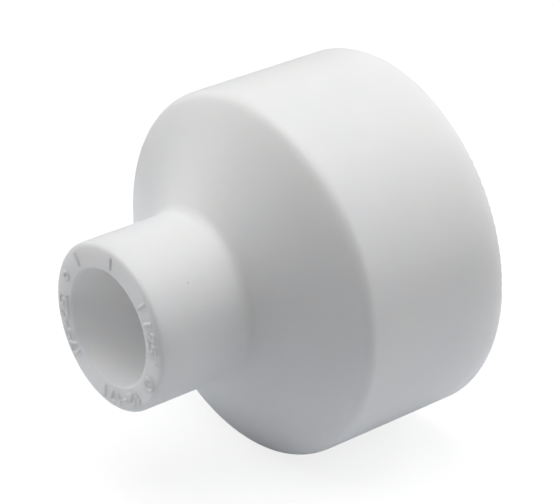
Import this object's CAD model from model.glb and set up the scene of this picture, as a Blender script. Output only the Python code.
"""Looks of the concentric reducer: white moulded plastic on a pale floor, in soft studio light."""

import math

import bmesh
import bpy
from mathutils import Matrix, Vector


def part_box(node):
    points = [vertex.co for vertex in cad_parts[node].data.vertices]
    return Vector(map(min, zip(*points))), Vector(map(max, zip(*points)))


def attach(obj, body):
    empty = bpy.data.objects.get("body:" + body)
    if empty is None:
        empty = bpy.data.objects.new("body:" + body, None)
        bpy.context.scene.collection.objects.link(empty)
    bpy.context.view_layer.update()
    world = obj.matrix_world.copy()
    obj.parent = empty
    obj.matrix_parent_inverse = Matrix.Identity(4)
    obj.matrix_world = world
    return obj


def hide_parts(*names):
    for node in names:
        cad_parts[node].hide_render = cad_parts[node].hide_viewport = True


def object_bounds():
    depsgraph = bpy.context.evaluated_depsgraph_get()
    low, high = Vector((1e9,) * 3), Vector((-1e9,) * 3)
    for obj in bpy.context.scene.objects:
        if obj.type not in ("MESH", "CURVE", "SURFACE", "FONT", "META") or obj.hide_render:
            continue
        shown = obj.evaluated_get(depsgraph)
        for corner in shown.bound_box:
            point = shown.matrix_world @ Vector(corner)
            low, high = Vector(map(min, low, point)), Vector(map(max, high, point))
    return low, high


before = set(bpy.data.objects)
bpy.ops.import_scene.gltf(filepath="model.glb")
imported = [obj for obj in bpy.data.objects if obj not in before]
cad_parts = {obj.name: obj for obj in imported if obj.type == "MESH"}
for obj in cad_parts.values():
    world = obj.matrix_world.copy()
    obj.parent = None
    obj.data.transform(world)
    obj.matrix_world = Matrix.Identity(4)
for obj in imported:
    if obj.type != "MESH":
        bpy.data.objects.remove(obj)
cad_low, cad_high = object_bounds()

MM = 0.001

# Camera. Azimuth is the side it stands on, from -Y round to +X, and elevation is above the horizon.
CAMERA_AZIMUTH = -39.2
CAMERA_ELEVATION = 27.4
CAMERA_DISTANCE = 0.5256
CAMERA_LENS = 166.0
AIM = Vector((-16.6, 10.5, -4.6)) * MM

# Softboxes, all of one width in metres: name, azimuth, elevation, power in watts
LAMP_CENTRE = Vector((-30, 0, 0)) * MM
LAMP_DISTANCE = 0.7
LAMP_WIDTH = 0.85
LAMPS = (
    ("overhead", 180, 90, 3.7),
    ("top_left", -120, 60, 0.8),
    ("right", 55, 30, 2.0),
    ("back_high", -160, 30, 1.0),
    ("back", -170, 2, 0.5),
    ("back_left", -125, 2, 1.0),
    ("back_right", 145, 2, 0.5),
    ("spigot_end", 90, 2, 2.5),
)

# The floor that only the camera sees, and the table just under it that throws light at the object
FLOOR_WIDTH = 6.0
FLOOR_WHITE = (0.3, 0.3, 0.3)
FLOOR_GLOW = 0.79
TABLE_RADIUS = 0.15
TABLE_SIDES = 96
TABLE_GAP = 0.1 * MM
TABLE_WHITE = (0.78, 0.80, 0.835)
MATT_ROUGHNESS = 0.9

# White polypropylene. Depths of relief are in millimetres.
WHITE = (0.93, 0.93, 0.93)
WHITE_SHADE = (0.905, 0.91, 0.915)
PLASTIC_IOR = 1.49
CLOUD_SIZE = 14 * MM
CLOUD_DETAIL = 3
GLOSS = 0.36
GLOSS_SPREAD = 0.03
PATCH_SIZE = 5 * MM
NOISE_RANGE = (0.3, 0.7)  # where most of a soft noise lies
PEEL_SIZE = 3.5 * MM
PEEL_DEPTH = 0.009
GRAIN_SIZE = 0.45 * MM
GRAIN_DEPTH = 0.0012
RING_PITCH = 0.6 * MM
RING_DEPTH = 0.0015
RING_RANGE = (0.4, 0.9)
RING_DULLNESS = 0.05
SPECK_COLOUR = (0.66, 0.65, 0.62)
SPECK_PITCH = 11 * MM
SPECK_SIZE = 0.016
SPECK_SHARE = 0.3
SPECK_DEPTH = 0.02

# Light that spreads under the plastic's skin
MILK_REACH = 4.5 * MM
MILK_TINT = (1, 0.95, 0.9)
BODY_MILK = 0.8
MARK_MILK = 0  # the marks are too thin for it

# Marks on the rim
MARK_NODES = ("index_ticks", "size_mark", "pressure_mark", "batch_mark", "cavity_mark")
MARK_SINK = 0.25 * MM
MARK_VOXEL = 0.07 * MM
MARK_SMOOTHING = 12
MARK_SMOOTHING_FACTOR = 0.5
MARK_FLARE = 0.26 * MM
MARK_FLARE_HEIGHT = 0.22 * MM
MARK_KEEP = 0.5  # share of the faces that stay
RIM_TOLERANCE = 0.01 * MM


def direction(azimuth, elevation):
    """The unit vector from the object towards a viewer or a lamp."""
    a, e = math.radians(azimuth), math.radians(elevation)
    return Vector((math.sin(a) * math.cos(e), -math.cos(a) * math.cos(e), math.sin(e)))


def stand(item, centre, towards, distance):
    """Puts a camera or a lamp at this distance from the centre, and turns it to look at it."""
    item.location = centre + towards * distance
    item.rotation_mode = "QUATERNION"
    item.rotation_quaternion = (-towards).to_track_quat("-Z", "Y")
    bpy.context.scene.collection.objects.link(item)


def make_camera():
    data = bpy.data.cameras.new("camera")
    data.lens = CAMERA_LENS
    data.clip_start = 0.01
    camera = bpy.data.objects.new("camera", data)
    stand(camera, AIM, direction(CAMERA_AZIMUTH, CAMERA_ELEVATION), CAMERA_DISTANCE)
    bpy.context.scene.camera = camera


def make_lamps():
    for name, azimuth, elevation, power in LAMPS:
        data = bpy.data.lights.new(name, "AREA")
        data.shape = "DISK"
        data.size = LAMP_WIDTH
        data.energy = power
        lamp = bpy.data.objects.new(name, data)
        stand(lamp, LAMP_CENTRE, direction(azimuth, elevation), LAMP_DISTANCE)


def make_world():
    """A white backdrop that only the camera sees: the lamps and the table give all the light."""
    world = bpy.data.worlds.new("studio")
    world.use_nodes = True
    background = world.node_tree.nodes["Background"]
    background.inputs["Color"].default_value = (1, 1, 1, 1)
    background.inputs["Strength"].default_value = 1
    for ray in ("diffuse", "glossy", "transmission", "scatter"):
        setattr(world.cycles_visibility, ray, False)
    bpy.context.scene.world = world


def matt_paint(name, colour, glow=0.0):
    material = bpy.data.materials.new(name)
    material.use_nodes = True
    shader = material.node_tree.nodes["Principled BSDF"]
    shader.inputs["Base Color"].default_value = (*colour, 1)
    shader.inputs["Roughness"].default_value = MATT_ROUGHNESS
    shader.inputs["Emission Color"].default_value = (1, 1, 1, 1)
    shader.inputs["Emission Strength"].default_value = glow
    return material


def make_floor():
    """A pale floor that only the camera sees. It glows a little, so it stays pale far from the lamps."""
    bpy.ops.mesh.primitive_plane_add(size=FLOOR_WIDTH, location=(0, 0, cad_low.z))
    floor = bpy.context.object
    floor.name = "floor"
    floor.data.materials.append(matt_paint("floor_paint", FLOOR_WHITE, FLOOR_GLOW))
    for ray in ("diffuse", "glossy", "transmission", "shadow"):
        setattr(floor, "visible_" + ray, False)


def make_table():
    """A white disk under the object, hidden from the camera. It throws light back and takes shadow."""
    middle = (cad_low + cad_high) / 2
    place = (middle.x, middle.y, cad_low.z - TABLE_GAP)
    bpy.ops.mesh.primitive_circle_add(
        vertices=TABLE_SIDES, radius=TABLE_RADIUS, fill_type="NGON", location=place
    )
    table = bpy.context.object
    table.name = "table"
    table.data.materials.append(matt_paint("table_paint", TABLE_WHITE))
    table.visible_camera = False


def new_node(tree, kind, **values):
    """A shader node with these input values; the underscores in their names stand for spaces."""
    node = tree.nodes.new(kind)
    for name, value in values.items():
        node.inputs[name.replace("_", " ")].default_value = value
    return node


def noise(tree, place, feature, detail=2.0):
    """Soft noise from 0 to 1, with features of about this size."""
    node = new_node(tree, "ShaderNodeTexNoise", Scale=1 / feature, Detail=detail)
    tree.links.new(place, node.inputs["Vector"])
    return node.outputs["Fac"]


def remap(tree, value, low, high, new_low, new_high):
    """The value moved smoothly from one range to another."""
    node = new_node(tree, "ShaderNodeMapRange", From_Min=low, From_Max=high, To_Min=new_low, To_Max=new_high)
    node.interpolation_type = "SMOOTHSTEP"
    tree.links.new(value, node.inputs["Value"])
    return node.outputs["Result"]


def combine(tree, operation, first, second):
    """Two values joined by one sum."""
    node = tree.nodes.new("ShaderNodeMath")
    node.operation = operation
    for socket, value in zip(node.inputs, (first, second)):
        if isinstance(value, (int, float)):
            socket.default_value = value
        else:
            tree.links.new(value, socket)
    return node.outputs[0]


def mix_colours(tree, amount, first, second):
    """One colour giving way to another. Each is a fixed colour or a socket."""
    node = tree.nodes.new("ShaderNodeMix")
    node.data_type = "RGBA"
    tree.links.new(amount, node.inputs["Factor"])
    for socket, value in zip((node.inputs[6], node.inputs[7]), (first, second)):
        if isinstance(value, tuple):
            socket.default_value = (*value, 1)
        else:
            tree.links.new(value, socket)
    return node.outputs[2]


def turned_place(tree, place):
    """Coordinates along the axis and out from it, in which turning marks are straight lines."""
    parts = tree.nodes.new("ShaderNodeSeparateXYZ")
    tree.links.new(place, parts.inputs[0])
    across = tree.nodes.new("ShaderNodeCombineXYZ")
    tree.links.new(parts.outputs["Y"], across.inputs["Y"])
    tree.links.new(parts.outputs["Z"], across.inputs["Z"])
    radius = tree.nodes.new("ShaderNodeVectorMath")
    radius.operation = "LENGTH"
    tree.links.new(across.outputs[0], radius.inputs[0])
    turned = tree.nodes.new("ShaderNodeCombineXYZ")
    tree.links.new(parts.outputs["X"], turned.inputs["X"])
    tree.links.new(radius.outputs["Value"], turned.inputs["Y"])
    return turned.outputs[0]


def speck_spots(tree, place):
    """1 on a few small specks, and 0 elsewhere."""
    node = new_node(tree, "ShaderNodeTexVoronoi", Scale=1 / SPECK_PITCH)
    tree.links.new(place, node.inputs["Vector"])
    spot = remap(tree, node.outputs["Distance"], SPECK_SIZE, 2 * SPECK_SIZE, 1, 0)
    chance = tree.nodes.new("ShaderNodeSeparateColor")
    tree.links.new(node.outputs["Color"], chance.inputs[0])
    chosen = combine(tree, "GREATER_THAN", chance.outputs[0], 1 - SPECK_SHARE)
    return combine(tree, "MULTIPLY", spot, chosen)


def make_plastic(name, milk):
    """White polypropylene: a satin skin, light that spreads under it, and the mould's texture."""
    material = bpy.data.materials.new(name)
    material.use_nodes = True
    tree = material.node_tree
    shader = tree.nodes["Principled BSDF"]
    shader.inputs["IOR"].default_value = PLASTIC_IOR
    shader.inputs["Subsurface Weight"].default_value = milk
    shader.inputs["Subsurface Radius"].default_value = MILK_TINT
    shader.inputs["Subsurface Scale"].default_value = MILK_REACH
    place = tree.nodes.new("ShaderNodeTexCoord").outputs["Object"]

    # Colour: slow clouds in the white, and a few dust specks
    clouds = remap(tree, noise(tree, place, CLOUD_SIZE, CLOUD_DETAIL), *NOISE_RANGE, 0, 1)
    white = mix_colours(tree, clouds, WHITE, WHITE_SHADE)
    specks = speck_spots(tree, place)
    tree.links.new(mix_colours(tree, specks, white, SPECK_COLOUR), shader.inputs["Base Color"])

    # Roughness: the skin is duller in patches, and along fine rings left by the turned mould
    peel = noise(tree, place, PEEL_SIZE)
    rings = noise(tree, turned_place(tree, place), RING_PITCH, 1)
    patches = noise(tree, place, PATCH_SIZE)
    patches = remap(tree, patches, *NOISE_RANGE, GLOSS - GLOSS_SPREAD, GLOSS + GLOSS_SPREAD)
    dull_rings = remap(tree, rings, *RING_RANGE, 0, RING_DULLNESS)
    tree.links.new(combine(tree, "ADD", patches, dull_rings), shader.inputs["Roughness"])

    # Relief, in millimetres
    relief = combine(tree, "MULTIPLY", peel, PEEL_DEPTH)
    for height, depth in (
        (noise(tree, place, GRAIN_SIZE), GRAIN_DEPTH),
        (rings, RING_DEPTH),
        (specks, SPECK_DEPTH),
    ):
        relief = combine(tree, "ADD", relief, combine(tree, "MULTIPLY", height, depth))
    bump = new_node(tree, "ShaderNodeBump", Strength=1, Distance=MM)
    tree.links.new(relief, bump.inputs["Height"])
    tree.links.new(bump.outputs["Normal"], shader.inputs["Normal"])
    return material


def cover(piece, material):
    """Gives a piece this material in place of any other."""
    piece.data.materials.clear()
    piece.data.materials.append(material)


def apply_modifier(piece, kind, **settings):
    """Adds one modifier to a piece and applies it."""
    modifier = piece.modifiers.new(kind.lower(), kind)
    for name, value in settings.items():
        setattr(modifier, name, value)
    shaped = bpy.data.meshes.new_from_object(piece.evaluated_get(bpy.context.evaluated_depsgraph_get()))
    piece.modifiers.clear()
    piece.data = shaped


def sink_foot(shape, rim):
    """Roots a mark in the body: its walls run on through the rim, as they do in one moulding."""
    for vert in shape.verts:
        if vert.co.x > rim - RIM_TOLERANCE:
            vert.co.x += MARK_SINK


def flare_foot(shape, rim):
    """Spreads the walls of a mark outwards where they meet the rim, as a small fillet does."""
    shape.normal_update()
    for vert in shape.verts:
        height = min(max((rim - vert.co.x) / MARK_FLARE_HEIGHT, 0), 1)
        outwards = Vector((0, vert.normal.y, vert.normal.z))
        vert.co += outwards * MARK_FLARE * (1 - height) ** 2


def reshape(piece, change, rim):
    """Makes one change to a piece's mesh."""
    shape = bmesh.new()
    shape.from_mesh(piece.data)
    change(shape, rim)
    shape.to_mesh(piece.data)
    shape.free()


def soften_mark(node, rim):
    """The mark with its edges rounded and its foot flared into the rim, in place of the CAD node."""
    piece = bpy.data.objects.new(node.name + "_soft", node.data.copy())
    bpy.context.scene.collection.objects.link(piece)
    reshape(piece, sink_foot, rim)
    apply_modifier(piece, "REMESH", mode="VOXEL", voxel_size=MARK_VOXEL)
    apply_modifier(piece, "SMOOTH", factor=MARK_SMOOTHING_FACTOR, iterations=MARK_SMOOTHING)
    reshape(piece, flare_foot, rim)
    apply_modifier(piece, "DECIMATE", ratio=MARK_KEEP)
    for face in piece.data.polygons:
        face.use_smooth = True
    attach(piece, "root")
    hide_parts(node.name)
    return piece


body_plastic = make_plastic("white_plastic", BODY_MILK)
mark_plastic = make_plastic("white_plastic_marks", MARK_MILK)
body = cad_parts["reducer_body"]
rim_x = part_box("reducer_body")[0].x
marks = [soften_mark(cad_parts[name], rim_x) for name in MARK_NODES]
cover(body, body_plastic)
for mark in marks:
    cover(mark, mark_plastic)
make_floor()
make_table()
make_lamps()
make_world()
make_camera()
bpy.context.scene.view_settings.view_transform = "Standard"
